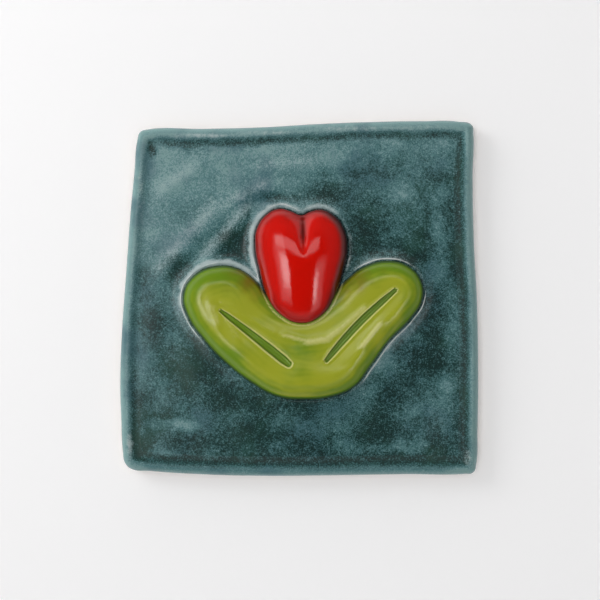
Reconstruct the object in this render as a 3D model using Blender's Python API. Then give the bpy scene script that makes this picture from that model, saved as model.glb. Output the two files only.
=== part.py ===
# A square, hand-pressed ceramic tile with a tulip in relief: one bloom on a pair of leaves.
# It is one fired piece, modelled lying flat on its back. Metres, +Z up. The origin is the
# centre of the underside, and +Y runs towards the top of the flower.

import math

import bmesh
import bpy
from mathutils import Matrix, Vector

MM = 0.001

# Heights above the underside
GROUND_HEIGHT = 8.0 * MM  # the sunk background
EDGE_HEIGHT = 5.4 * MM  # the upright part of the outer edge
FOOT_CHAMFER = 0.8 * MM  # the softened arris round the underside
POCKET_FLOOR = 6.8 * MM  # bottom of the groove round the motif
MOTIF_FOOT = 5.8 * MM  # the motif's solids start inside the slab, to join it
LEAF_SHOULDER = 8.2 * MM  # where the leaves start to round over
LEAF_CROWN = 13.4 * MM
BLOOM_SHOULDER = 8.6 * MM  # where the bloom starts to round over
BLOOM_CROWN = 16.8 * MM

# The rim's section, from the edge inwards: (distance in from the edge, height above ground)
RIM_SECTION = [
    (0.4 * MM, -0.8 * MM),
    (1.1 * MM, 0.4 * MM),
    (2.1 * MM, 1.1 * MM),
    (3.4 * MM, 1.2 * MM),
    (4.6 * MM, 0.7 * MM),
    (5.6 * MM, 0.2 * MM),
    (6.7 * MM, 0.0 * MM),
]
HALF_WIDTH = 75.0 * MM  # a distance in from the edge becomes a scale by this

LEAF_ROUNDING = 10.0 * MM  # width of the leaves' rounded flank
BLOOM_PEAK = (1.0 * MM, 9.0 * MM)  # where the bloom is highest, in plan
BLOOM_PEAK_SHARE = 0.12  # the small flat patch there, as a share of the outline
DOME_STEPS = 6

LIP_HALF_WIDTH = 2.3 * MM  # the bead of clay pressed up round the motif
LIP_RISE = 0.9 * MM  # its height above the ground
LIP_SINK = 0.25 * MM  # how far below the ground its widest part lies
LIP_SETBACK = 1.2 * MM  # the bead's middle lies this far outside the pocket's edge
POCKET_DRAFT = 0.975  # the pocket's floor is this much smaller than its mouth

MIDRIB_HALF_WIDTH = 1.3 * MM
MIDRIB_DEPTH = 1.5 * MM
MIDRIB_LIFT = 0.3 * MM  # how far above the crown the cutting rod's middle lies
MIDRIB_STEPS = 8
MIDRIB_TAPER = 0.4  # a lower power keeps the cut wide for longer

CURVE_STEPS = 3  # straight pieces between two points of an outline

# Outlines in millimetres: the points that each smooth closed curve runs through
TILE_OUTLINE = [
    (-67.9, 66.0), (-66.6, 69.7), (-63.0, 70.9), (-40.0, 71.1), (-14.0, 71.8), (6.0, 73.0),
    (28.0, 73.9), (52.0, 74.3), (66.5, 74.1), (72.3, 72.6), (73.0, 68.6), (72.7, 52.0),
    (73.2, 24.0), (74.5, -2.0), (75.0, -30.0), (74.7, -56.0), (74.2, -69.0), (72.9, -72.8),
    (69.0, -73.5), (45.0, -73.6), (12.0, -74.1), (-16.0, -74.3), (-42.0, -73.6),
    (-62.0, -72.3), (-69.6, -71.4), (-72.8, -68.6), (-73.9, -64.0), (-74.6, -50.0),
    (-75.0, -36.0), (-74.3, -14.0), (-72.6, 10.0), (-70.7, 36.0), (-69.0, 54.0),
]
LEAF_OUTLINE = [
    (-33.5, 13.1), (-25.0, 11.8), (-18.6, 7.4), (-12.0, 0.0), (1.0, -5.5), (13.0, 1.0),
    (19.8, 7.4), (27.2, 12.7), (37.0, 15.2), (45.4, 13.0), (50.3, 7.2), (50.8, -0.4),
    (46.0, -8.4), (37.3, -17.3), (28.9, -28.6), (22.8, -36.1), (14.2, -40.0), (2.0, -41.5),
    (-9.3, -40.2), (-19.6, -34.7), (-30.5, -26.4), (-39.4, -17.0), (-46.2, -6.9),
    (-47.9, 1.4), (-43.6, 9.1),
]
BLOOM_OUTLINE = [
    (0.9, 34.2), (-3.2, 35.9), (-8.4, 36.9), (-13.6, 34.2), (-17.1, 29.0), (-18.0, 22.0),
    (-16.2, 12.0), (-13.3, 1.8), (-7.8, -6.1), (0.9, -9.8), (9.4, -6.3), (14.6, 1.8),
    (18.0, 12.0), (19.5, 21.0), (18.1, 28.8), (14.3, 33.9), (9.1, 36.5), (4.4, 35.7),
]
POCKET_OUTLINE = [
    (-18.9, 11.4), (-19.4, 22.5), (-18.4, 30.6), (-14.2, 36.6), (-7.0, 39.1), (1.2, 37.7),
    (8.8, 38.5), (15.4, 35.9), (20.0, 30.0), (21.5, 20.5), (20.4, 11.4), (27.6, 15.8),
    (37.5, 17.3), (46.5, 15.1), (51.9, 8.8), (52.6, 0.5), (48.0, -8.8), (39.4, -18.0),
    (31.2, -29.0), (25.0, -37.4), (15.5, -42.0), (2.0, -43.4), (-10.4, -42.0),
    (-21.4, -36.2), (-32.4, -27.4), (-41.4, -17.8), (-48.4, -7.4), (-50.0, 1.8),
    (-46.0, 11.6), (-34.0, 16.8), (-24.6, 15.8),
]

# The groove cut along each leaf: its two ends and its sideways bow, in millimetres
MIDRIBS = {
    "left_midrib_cut": ((-33.0, -4.3), (-3.4, -27.5), 0.0),
    "right_midrib_cut": ((10.6, -26.3), (39.8, 3.7), 1.0),
}

# Colour and roughness of each glaze
GLAZES = {
    "speckled_teal_glaze": ((0.075, 0.185, 0.185, 1), 0.45),
    "leaf_green_glaze": ((0.27, 0.37, 0.02, 1), 0.12),
    "bloom_red_glaze": ((0.55, 0.008, 0.003, 1), 0.08),
}


def clear_scene():
    for obj in list(bpy.data.objects):
        bpy.data.objects.remove(obj, do_unlink=True)


def make_collection(name):
    collection = bpy.data.collections.new(name)
    bpy.context.scene.collection.children.link(collection)
    return collection


def glaze(name):
    """A Principled material in one of the tile's glaze colours."""
    material = bpy.data.materials.get(name)
    if material is None:
        colour, roughness = GLAZES[name]
        material = bpy.data.materials.new(name)
        material.use_nodes = True
        shader = material.node_tree.nodes["Principled BSDF"]
        shader.inputs["Base Color"].default_value = colour
        shader.inputs["Roughness"].default_value = roughness
        shader.inputs["Metallic"].default_value = 0.0
        material.diffuse_color = colour
    return material


def to_mesh(obj, collection):
    """Replaces a curve object by the mesh that it makes, in world space, with its caps welded."""
    bpy.context.view_layer.update()
    graph = bpy.context.evaluated_depsgraph_get()
    mesh = bpy.data.meshes.new_from_object(obj.evaluated_get(graph))
    mesh.transform(obj.matrix_world)
    name = obj.name
    bpy.data.objects.remove(obj)
    solid = bpy.data.objects.new(name, mesh)
    collection.objects.link(solid)
    bm = bmesh.new()
    bm.from_mesh(mesh)
    bmesh.ops.remove_doubles(bm, verts=bm.verts, dist=0.001 * MM)
    bmesh.ops.recalc_face_normals(bm, faces=bm.faces)
    bm.to_mesh(mesh)
    bm.free()
    return solid


def smooth_outline(curve, outline):
    """Adds a smooth closed spline through an outline's points to a curve."""
    spline = curve.splines.new("BEZIER")
    spline.bezier_points.add(len(outline) - 1)
    for point, (x, y) in zip(spline.bezier_points, outline):
        point.co = (x * MM, y * MM, 0)
        point.handle_left_type = "AUTO"
        point.handle_right_type = "AUTO"
    spline.use_cyclic_u = True


def plate(name, outline, low, high, collection):
    """A flat plate between two heights, bounded by a smooth outline, with one face on top."""
    curve = bpy.data.curves.new(name, "CURVE")
    curve.dimensions = "2D"
    curve.fill_mode = "BOTH"
    curve.resolution_u = CURVE_STEPS
    curve.extrude = (high - low) / 2
    smooth_outline(curve, outline)
    obj = bpy.data.objects.new(name, curve)
    obj.location.z = (low + high) / 2
    collection.objects.link(obj)
    solid = to_mesh(obj, collection)
    bm = bmesh.new()
    bm.from_mesh(solid.data)
    for up in (1, -1):
        flat = [f for f in bm.faces if f.normal.z * up > 0.99]
        bmesh.ops.dissolve_faces(bm, faces=flat)
    bm.to_mesh(solid.data)
    bm.free()
    return solid


def narrow_foot(solid, share):
    """Draws in the lower edge of a plate, towards the middle of the tile."""
    bm = bmesh.new()
    bm.from_mesh(solid.data)
    middle = sum(v.co.z for v in bm.verts) / len(bm.verts)
    foot = [v for v in bm.verts if v.co.z < middle]
    bmesh.ops.scale(bm, vec=(share, share, 1), verts=foot)
    bm.to_mesh(solid.data)
    bm.free()


def top_face(bm):
    return max(bm.faces, key=lambda face: face.calc_center_median().z)


def drawn_up(bm, top, centre, scale, rise):
    """Extrudes the top face, shrinks it about a centre and lifts it. Returns the new top."""
    grown = bmesh.ops.extrude_discrete_faces(bm, faces=[top])["faces"][0]
    about = Matrix.Translation((-centre[0], -centre[1], 0))
    bmesh.ops.scale(bm, vec=(scale, scale, 1), space=about, verts=grown.verts)
    bmesh.ops.translate(bm, vec=(0, 0, rise), verts=grown.verts)
    return grown


def dome_steps(width, rise):
    """Steps of (inset, rise) that follow a quarter of an ellipse from its foot to its top."""
    angles = [math.radians(90) * i / DOME_STEPS for i in range(DOME_STEPS + 1)]
    for start, end in zip(angles, angles[1:]):
        inset = width * (math.cos(start) - math.cos(end))
        yield inset, rise * (math.sin(end) - math.sin(start))


def slab(collection):
    """The pressed slab: its wavering edge, its raised rim and the sunk ground."""
    solid = plate("relief_tile", TILE_OUTLINE, 0, FOOT_CHAMFER, collection)
    narrow_foot(solid, 1 - FOOT_CHAMFER / HALF_WIDTH)
    bm = bmesh.new()
    bm.from_mesh(solid.data)
    middle = (0, 0)
    top = drawn_up(bm, top_face(bm), middle, 1, EDGE_HEIGHT - FOOT_CHAMFER)
    reached, height = 0, EDGE_HEIGHT - GROUND_HEIGHT
    for distance, next_height in RIM_SECTION:
        scale = (HALF_WIDTH - distance) / (HALF_WIDTH - reached)
        top = drawn_up(bm, top, middle, scale, next_height - height)
        reached, height = distance, next_height
    bm.to_mesh(solid.data)
    bm.free()
    solid.data.materials.append(glaze("speckled_teal_glaze"))
    return solid


def lip_bead(collection):
    """The low bead of clay pressed up round the motif: a flattened rod, sunk in the ground."""
    curve = bpy.data.curves.new("lip_bead", "CURVE")
    curve.dimensions = "2D"
    curve.fill_mode = "NONE"
    curve.resolution_u = CURVE_STEPS
    curve.bevel_depth = LIP_HALF_WIDTH
    curve.bevel_resolution = 2
    curve.offset = LIP_SETBACK
    smooth_outline(curve, POCKET_OUTLINE)
    obj = bpy.data.objects.new("lip_bead", curve)
    obj.scale.z = (LIP_RISE + LIP_SINK) / LIP_HALF_WIDTH
    obj.location.z = GROUND_HEIGHT - LIP_SINK
    collection.objects.link(obj)
    solid = to_mesh(obj, collection)
    solid.data.materials.append(glaze("speckled_teal_glaze"))
    return solid


def motif_pocket(collection):
    """What is cut from the ground round the motif, so that a narrow groove is left."""
    above_lip = GROUND_HEIGHT + 2 * LIP_RISE
    solid = plate("motif_pocket", POCKET_OUTLINE, POCKET_FLOOR, above_lip, collection)
    narrow_foot(solid, POCKET_DRAFT)
    solid.data.materials.append(glaze("speckled_teal_glaze"))
    return solid


def leaf_pair(collection):
    """The two leaves, one cushion in the shape of a wide V."""
    solid = plate("leaf_pair", LEAF_OUTLINE, MOTIF_FOOT, LEAF_SHOULDER, collection)
    bm = bmesh.new()
    bm.from_mesh(solid.data)
    top = top_face(bm)
    for inset, rise in dome_steps(LEAF_ROUNDING, LEAF_CROWN - LEAF_SHOULDER):
        bmesh.ops.inset_region(bm, faces=[top], thickness=inset, depth=rise, use_even_offset=True)
    bm.to_mesh(solid.data)
    bm.free()
    solid.data.materials.append(glaze("leaf_green_glaze"))
    return solid


def bloom(collection):
    """The tulip's head: an egg with a cleft at the top, standing higher than the leaves."""
    solid = plate("bloom", BLOOM_OUTLINE, MOTIF_FOOT, BLOOM_SHOULDER, collection)
    bm = bmesh.new()
    bm.from_mesh(solid.data)
    top = top_face(bm)
    size = 1.0
    for shrink, rise in dome_steps(1 - BLOOM_PEAK_SHARE, BLOOM_CROWN - BLOOM_SHOULDER):
        top = drawn_up(bm, top, BLOOM_PEAK, (size - shrink) / size, rise)
        size -= shrink
    bm.to_mesh(solid.data)
    bm.free()
    solid.data.materials.append(glaze("bloom_red_glaze"))
    return solid


def midrib_cut(name, start, end, bow, collection):
    """A tapered rod laid along a leaf's crown, to be cut away."""
    start, end = Vector(start) * MM, Vector(end) * MM
    along = end - start
    across = Vector((-along.y, along.x)).normalized()
    curve = bpy.data.curves.new(name, "CURVE")
    curve.dimensions = "3D"
    curve.bevel_depth = MIDRIB_HALF_WIDTH
    curve.bevel_resolution = 2
    curve.use_fill_caps = True
    spline = curve.splines.new("POLY")
    spline.points.add(MIDRIB_STEPS)
    for i, point in enumerate(spline.points):
        share = i / MIDRIB_STEPS
        swell = math.sin(math.radians(10 + 160 * share))
        place = start + along * share + across * (bow * MM * swell)
        point.co = (place.x, place.y, 0, 1)
        point.radius = swell ** MIDRIB_TAPER
    obj = bpy.data.objects.new(name, curve)
    obj.scale.z = (MIDRIB_DEPTH + MIDRIB_LIFT) / MIDRIB_HALF_WIDTH
    obj.location.z = LEAF_CROWN + MIDRIB_LIFT
    collection.objects.link(obj)
    solid = to_mesh(obj, collection)
    solid.data.materials.append(glaze("leaf_green_glaze"))
    return solid


def combine(tile, other, operation):
    """Joins another solid to the tile, or cuts it away, and keeps the other as a guide."""
    boolean = tile.modifiers.new(other.name, "BOOLEAN")
    boolean.operation = operation
    boolean.object = other
    boolean.solver = "EXACT"
    boolean.use_self = True
    boolean.material_mode = "TRANSFER"
    other.hide_render = True
    other.display_type = "WIRE"


def build():
    clear_scene()
    tile_collection = make_collection("decorative_tile")
    guides = make_collection("guides")
    tile = slab(tile_collection)
    combine(tile, lip_bead(guides), "UNION")
    combine(tile, motif_pocket(guides), "DIFFERENCE")
    combine(tile, leaf_pair(guides), "UNION")
    for name, (start, end, bow) in MIDRIBS.items():
        combine(tile, midrib_cut(name, start, end, bow, guides), "DIFFERENCE")
    combine(tile, bloom(guides), "UNION")


build()
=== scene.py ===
# A hand-pressed tile with a tulip in relief, dressed as it was fired: one closed clay mesh with
# its glazes, on a pale floor under soft studio light. Shapes are worked out in millimetres.

import math

import bpy
import numpy as np
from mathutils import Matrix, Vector, noise
from mathutils.geometry import delaunay_2d_cdt
from mathutils.kdtree import KDTree


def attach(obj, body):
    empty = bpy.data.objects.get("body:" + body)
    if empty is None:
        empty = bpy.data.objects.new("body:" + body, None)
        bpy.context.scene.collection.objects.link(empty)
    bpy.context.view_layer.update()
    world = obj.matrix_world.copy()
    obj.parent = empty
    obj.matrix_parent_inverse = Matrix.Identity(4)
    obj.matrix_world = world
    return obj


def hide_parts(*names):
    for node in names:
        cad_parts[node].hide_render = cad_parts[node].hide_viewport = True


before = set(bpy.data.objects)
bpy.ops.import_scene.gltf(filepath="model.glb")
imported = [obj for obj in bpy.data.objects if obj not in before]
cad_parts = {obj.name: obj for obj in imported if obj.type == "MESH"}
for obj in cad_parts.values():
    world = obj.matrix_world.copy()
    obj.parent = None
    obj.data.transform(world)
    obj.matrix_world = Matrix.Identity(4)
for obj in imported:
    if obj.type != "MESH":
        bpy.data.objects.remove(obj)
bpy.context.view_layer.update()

mm = 0.001


# Outlines

lineStep = 0.15  # how far apart an outline's own points are


def skip(step):
    # Every how many of an outline's points give points about step apart.
    return max(1, int(round(step / lineStep)))


def treeOf(spots):
    tree = KDTree(len(spots))
    for i, (x, y) in enumerate(spots):
        tree.insert((x, y, 0), i)
    tree.balance()
    return tree


class Outline:
    # A smooth closed line through a few points, which runs counter-clockwise.
    straight = 0.1  # a spot this little aside of its nearest point lies straight across
    slack = 0.03  # how much nearer to the line a ring's points may come

    def __init__(self, points):
        self.line = self.even(self.bezier(points))
        ahead = np.roll(self.line, -1, 0) - np.roll(self.line, 1, 0)
        ahead /= np.linalg.norm(ahead, axis=1)[:, None]
        self.outward = np.column_stack((ahead[:, 1], -ahead[:, 0]))
        self.tree = treeOf(self.line)

    def bezier(self, points):
        curve = bpy.data.curves.new("outline", "CURVE")
        curve.dimensions = "2D"
        curve.resolution_u = 24
        spline = curve.splines.new("BEZIER")
        spline.bezier_points.add(len(points) - 1)
        for knot, (x, y) in zip(spline.bezier_points, points):
            knot.co = (x, y, 0)
            knot.handle_left_type = knot.handle_right_type = "AUTO"
        spline.use_cyclic_u = True
        helper = bpy.data.objects.new("outline", curve)
        line = np.array([v.co.xy for v in helper.to_mesh().vertices])
        bpy.data.objects.remove(helper)
        bpy.data.curves.remove(curve)
        x, y = line.T
        area = np.sum(x * np.roll(y, -1) - y * np.roll(x, -1))
        return line if area > 0 else line[::-1]

    def even(self, line):
        closed = np.vstack((line, line[:1]))
        run = np.concatenate(([0], np.cumsum(np.linalg.norm(np.diff(closed, axis=0), axis=1))))
        count = int(round(run[-1] / lineStep))
        at = np.linspace(0, run[-1], count, endpoint=False)
        return np.column_stack([np.interp(at, run, closed[:, k]) for k in (0, 1)])

    def depth(self, spots):
        # How far in from the line each spot lies, negative outside.
        found = [self.tree.find((x, y, 0)) for x, y in spots]
        near = np.array([index for _, index, _ in found])
        far = np.array([distance for _, _, distance in found])
        out = np.sum((spots - self.line[near]) * self.outward[near], axis=1)
        aside = np.sqrt(np.maximum(far ** 2 - out ** 2, 0))
        return np.where(out > 0, -1, 1) * np.where(aside < self.straight, abs(out), far)

    def rings(self, depths, step):
        # Points along copies of the line at these depths, without those that cross over it.
        picked = []
        for depth in depths:
            ring = (self.line - self.outward * depth)[::skip(step)]
            picked.append(ring[abs(self.depth(ring)) > abs(depth) - self.slack])
        return np.vstack(picked)


def swell(value):
    # 0 to 1, eased at both ends
    value = np.clip(value, 0, 1)
    return value * value * (3 - 2 * value)


def ramp(value, start, run):
    # 0 up to start, and 1 from run beyond it
    return swell((value - start) / run)


def rising(value, low, gain, start, run):
    return low + gain * ramp(value, start, run)


def bell(value, width):
    return np.exp(-(value / width) ** 2)


def stripe(value, strength, place, width):
    return strength * bell(value - place, width)


# The noises, by what they disturb: size, seed and octaves
noises = {
    "rimWidth": (17, 1.3, 1), "lipRise": (12, 4.2, 1), "leafSkin": (13, 9.1, 2),
    "bendAcross": (7, 2.2, 2), "bendUp": (7, 9.9, 2), "clouds": (13, 2.4, 5),
    "rimGlaze": (11, 6.5, 2), "topBand": (9, 1.9, 2), "paleLip": (5, 3.7, 2),
    "strokes": (6, 7.3, 2), "thinAndSparkle": (1.7, 5.1, 2),
    "green": (9, 5.5, 2), "brushed": (12, 6.6, 2), "amber": (5, 8.8, 2),
}


def lumps(spots, size, seed, octaves):
    # Soft uneven noise, about -1 to 1, with hills about as wide as size.
    places = [Vector((x / size, y / size, seed)) for x, y in spots]
    return np.array([noise.fractal(place, 1, 2, octaves) for place in places])


def patches(spots, places):
    # The sum of soft elliptical patches: x, y, half-width, half-height and strength.
    total = np.zeros(len(spots))
    for x, y, wide, high, strength in places:
        total += strength * np.exp(-((spots[:, 0] - x) / wide) ** 2 - ((spots[:, 1] - y) / high) ** 2)
    return total


# The slab

slab = {
    "outline": [
        (-67.9, 66), (-66.6, 69.7), (-63, 70.9), (-40, 71.1), (-14, 71.8), (6, 73), (28, 73.9),
        (52, 74.3), (66.5, 74.1), (72.3, 72.6), (73, 68.6), (72.7, 52), (73.2, 24), (74.5, -2),
        (75, -30), (74.7, -56), (74.2, -69), (72.9, -72.8), (69, -73.5), (45, -73.6), (12, -74.1),
        (-16, -74.3), (-42, -73.6), (-62, -72.3), (-70.4, -71.3), (-73.1, -68.6), (-73.9, -64),
        (-74.6, -50), (-75, -36), (-74.3, -14), (-72.6, 10), (-70.7, 36), (-69, 54),
    ],
    "ground": 8,  # height of the sunk background
    "edge": 5.4,  # where the upright side turns over into the rim
    "rim": 9.2,  # the rim's crest
    "crest": 3.2,  # how far in from the edge that lies
    "foot": 6.6,  # how far in the rim's slope ends
    "waves": [(34, 0.3, 3.1), (11, 0.1, 7.7)],  # size, height and seed of the pressed waves
    "strokes": [  # low ridges that the hand left: two ends, half-width and height
        ((-54.5, 14.5), (-35, 35.5), 4, 0.34), ((-35, 35.5), (-14, 46), 3.4, 0.28),
        ((-37, 17.5), (-21, 36.5), 3.2, 0.32), ((-54, 46), (-44, 53), 3.6, 0.26),
        ((-13, 54), (4, 55.5), 3, 0.22), ((-49, 66), (-32, 66.2), 1.6, 0.2),
    ],
    "waveFade": (3, 6),  # how far in the waves start, and over what width
    "uneven": 0.1,  # how unevenly wide the rim is
    "backFlat": 0.01,  # the back's faces lie under this
    "ringStep": 0.75,
    "rings": [0.07, 0.22, 0.45, 0.8, 1.2, 1.7, 2.3, 2.9, 3.5, 4.1, 4.7, 5.3, 5.9, 6.5, 7.2],
    "sideRings": [  # how far in and how high, down to the back
        (0, 4.6), (-0.04, 3.6), (-0.05, 2.6), (0, 1.7), (0.04, 1), (0.2, 0.5), (0.5, 0.15), (0.9, 0),
    ],
}

# The groove round the motif and the lip that it pushed up. Widths are distances from the motif.
lip = {
    "floor": 7.4,  # height of the groove's floor
    "crest": 1.05,
    "rise": 0.15,
    "spread": 2.3,  # how far the lip's outer slope runs
    "reach": 6,  # how far out the finer mesh goes
    "uneven": 0.3,
    "steepness": 2.4,  # of the inner slope, which is round at 2
    "higher": [  # x, y, half-width, half-height and how much more the lip rises there
        (-36, 14, 20, 10, 0.5), (-50, 2, 7, 10, 0.25), (-19, 28, 7, 16, 0.38), (2, 39, 20, 6, 0.25),
        (46, -6, 12, 22, 0.2), (36, 17, 14, 6, 0.2),
    ],
    "wider": [
        (-36, 16, 18, 8, 0.5), (-3, 41, 16, 6, 0.6), (44, -10, 14, 24, 0.35), (5, -43, 20, 6, 0.3),
        (20, 25, 6, 14, 0.2),
    ],
    "pale": [  # where its glaze is thin, with a highlight painted on it, most on the upper left where it faces the light
        (-36, 14, 22, 9, 1.25), (-50, 2, 7, 10, 0.7), (-44, -13, 7, 9, 0.45), (-19, 28, 7, 16, 0.85),
        (2, 39, 22, 6, 0.7), (38, -20, 16, 16, 0.4), (36, 17, 16, 6, 0.45), (24, 24, 5, 12, 0.3),
    ],
    # a thin raised thread on it, with a painted glint along it: how far out, half-width and height, and
    # where it shows
    "thread": (1, 0.26, 0.22),
    "threadGain": 1.6,  # evens out its height along each place
    "threadOut": [(-4, 42, 14, 6, 1), (-36, 17, 12, 5, 0.5)],  # where it lies further out
    "threads": [
        (-45.5, -9, 6, 9, 1), (-50, 3, 4, 8, 0.6), (42, -13.5, 9, 9, 1.1), (32, -27, 7, 8, 1.1),
        (-17, 12, 3, 9, 0.7), (33, 15.5, 14, 4, 0.8), (50.5, -2, 3, 6, 0.8), (-5, 39.5, 14, 4, 0.5),
        (-38, 15.5, 9, 4, 0.5), (-47.5, 9, 4, 4, 0.5),
    ],
    "rings": [0.1, 0.24, 0.42, 0.65, 0.85, 1.02, 1.22, 1.55, 1.9, 2.3, 2.75, 3.25, 3.8, 4.4, 5.1],
    "ringStep": 0.45,
}

# The leaves, one cushion in the shape of a wide V
leaves = {
    "outline": [
        (-33.5, 13.5), (-25, 12.1), (-18.6, 7.6), (-12, 0), (1, -5.5), (13, 1), (19.8, 7.8),
        (27.2, 13.2), (37, 15.6), (45.7, 13.3), (50.7, 7.4), (51.2, -0.4), (46.4, -8.5), (37.7, -17.4),
        (29.3, -28.8), (23.2, -36.5), (14.4, -40.6), (2, -42), (-9.4, -40.7), (-19.8, -35.1),
        (-30.7, -26.7), (-39.7, -17.2), (-46.6, -7), (-48.3, 1.5), (-43.9, 9.4),
    ],
    "shoulder": 8,
    "crown": 13.4,
    "rounding": 8.2,  # width of the rounded flank
    "section": (2.1, 0.6),  # its powers, which are 2 and 0.5 for a quarter round
    "settled": 5,  # how far in the dips and swellings are at their full
    "uneven": 0.12,
    "bloomDip": (11, 1.3),  # how far the dip under the bloom reaches, and its depth
    "strokes": [  # low ridges: two ends, half-width and height
        ((-36, -3.5), (-34, -9.5), 2, 0.26), ((-28.5, -11.5), (-26, -15), 2, 0.22),
        ((26.5, -19), (33, -11), 1.5, 0.42), ((-25, -5.6), (-11, -13.8), 1.3, 0.16),
        ((-5.5, -15.4), (4, -18), 1.5, 0.3), ((4, -18), (11, -17), 2, 0.36),
        ((11, -17), (16.5, -13.2), 1.8, 0.36), ((16.5, -13.2), (26.5, -4.3), 1.4, 0.34),
        ((17, -30), (22, -29), 1.6, 0.16), ((-31.5, -1.6), (-27, -3.4), 0.9, 0.14),
    ],
    "swells": [  # x, y, half-width, half-height and height of low swellings
        (-30, -3, 8, 7, 0.3), (-24, -22, 14, 8, 0.25), (4, -32, 16, 6, 0.35), (40, -4, 7, 9, 0.3),
        (27, -24, 8, 8, 0.3),
    ],
    "rings": [0, 0.05, 0.16, 0.35, 0.62, 0.95, 1.35, 1.8, 2.35, 3, 3.7],
    "ringStep": 0.45,
}

# The midribs, cut with a tool
midribs = {
    "cuts": [  # two ends, a sideways bow, half-width and depth
        ((-32.4, -5.1), (-4.4, -27), 0.2, 1.75, 1.1), ((11.2, -25.6), (39.6, 3.4), 1.1, 1.5, 1.1),
    ],
    "troughs": [(3.8, 0.35), (5, 0.5)],  # half-width and depth of the dips they lie in
    # share of each cut's width at places along it
    "tapers": [
        [(0, 0.4), (0.1, 0.62), (0.35, 0.8), (0.7, 1), (0.93, 1), (1, 0.8)],
        [(0, 0.62), (0.1, 0.85), (0.3, 1), (0.6, 1), (0.85, 0.85), (1, 0.6)],
    ],
    "corner": 4,  # a cut is round at 2, and flatter with more
    # places of the mesh rows across a cut, in half-widths, and their step along it
    "across": [-1.5, -1.2, -1, -0.92, -0.75, -0.5, -0.2, 0.2, 0.5, 0.75, 0.92, 1, 1.2, 1.5],
    "step": 0.4,
    # clay pushed up at each side: height, and how far out and how wide in half-widths
    "burr": (0.2, 1.3, 0.4),
}

# The bloom, an egg of two cheeks with a cleft between them at the upper end
bloom = {
    "outline": [
        (0.9, 34.9), (-3.2, 36.4), (-8.5, 37.5), (-14, 34.8), (-17.8, 29.2), (-18.6, 22), (-16.8, 12),
        (-13.8, 1.6), (-8, -6.6), (0.9, -10.3), (9.6, -6.8), (15.1, 1.6), (18.6, 12), (20.2, 21),
        (18.8, 29), (14.8, 34.6), (9.2, 37.1), (4.4, 36.3),
    ],
    "base": 7.5,  # where it doesn't stand on the leaves
    "crown": 16.8,
    "power": 0.42,  # 0.5 is a round dome, and less is flatter on top
    "spread": 16,
    "valley": ((1.8, 12), (1.2, 38), 5, 1.5),  # between the cheeks: ends, half-width and depth
    "valleyFade": 3,  # over this width at the edge
    "cleft": ((1.9, 18), (1.2, 37), 2.9, 1.7),
    "cleftStart": (-0.05, 0.4),  # where along it it starts, and over what share it deepens
    "cleftPoint": 0.3,  # share of its width at the lower end
    # mesh rows along and across the cleft, as shares of its length and half-width
    "cleftRows": ((-0.12, 1, 0.022), (-1.8, 1.9, 0.3)),
    "tuck": 0.3,  # how far it may dip under the height round it
    "rings": [-0.3, -0.12, 0, 0.05, 0.15, 0.32, 0.6, 0.95, 1.4, 1.95, 2.6],
    "ringStep": 0.42,
}

slabLine = Outline(slab["outline"])
leafLine = Outline(leaves["outline"])
bloomLine = Outline(bloom["outline"])
print("outlines drawn")


def midribTaper(cut, share):
    return np.interp(share, *zip(*midribs["tapers"][midribs["cuts"].index(cut)]))


def midribPlace(cut, share):
    # The middle line at these shares of the length, the way aside, and the half-widths.
    (ax, ay), (bx, by), bow, half, _ = cut
    length = math.hypot(bx - ax, by - ay)
    side = np.array(((ay - by) / length, (bx - ax) / length))
    arch = np.sin(math.pi * share)
    middle = np.outer(1 - share, (ax, ay)) + np.outer(share, (bx, by)) + np.outer(arch * bow, side)
    return middle, side, half * midribTaper(cut, share)


def midribAcross(cut, spots):
    # How far each spot lies from a midrib's middle line, in half-widths.
    start, end, bow, half, _ = cut
    run, aside, beyond = strokeField((start, end), spots)
    arch = np.sin(math.pi * np.clip(run, 0, 1))
    return np.hypot(aside - arch * bow, beyond) / (half * midribTaper(cut, run))


def rimHeight(depth):
    # The rim's height above the ground: a rounded arris, a crest and a slope down.
    rise = slab["rim"] - slab["ground"]
    turn = np.clip(1 - depth / slab["crest"], 0, 1)
    arris = slab["edge"] - slab["ground"] + (slab["rim"] - slab["edge"]) * np.sqrt(1 - turn ** 2)
    slope = rise * (1 - swell((depth - slab["crest"]) / (slab["foot"] - slab["crest"])))
    return np.where(depth < slab["crest"], arris, slope)


def groundHeight(spots, gap):
    edge = slabLine.depth(spots)
    fade = ramp(edge, *slab["waveFade"])
    height = slab["ground"] + rimHeight(edge * (1 + slab["uneven"] * lumps(spots, *noises["rimWidth"])))
    for size, high, seed in slab["waves"]:
        height += high * fade * lumps(spots, size, seed, 1)
    height += strokeSwells(slab["strokes"], spots)
    # The lip's outer slope is a bell, and its inner one is round down to the groove
    rise = lip["rise"] + patches(spots, lip["higher"])
    rise *= 1 + lip["uneven"] * lumps(spots, *noises["lipRise"])
    crest = lip["crest"] + patches(spots, lip["wider"])
    height += rise * bell(np.maximum(gap - crest, 0), lip["spread"])
    turn = np.clip(1 - gap / crest, 0, 1)
    height = lip["floor"] + (height - lip["floor"]) * np.sqrt(1 - turn ** lip["steepness"])
    return height + lip["thread"][2] * threadShare(spots, gap)


def threadShare(spots, gap):
    out, wide, _ = lip["thread"]
    out += patches(spots, lip["threadOut"])
    return np.clip(lip["threadGain"] * patches(spots, lip["threads"]), 0, 1) * bell(gap - out, wide)


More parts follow.
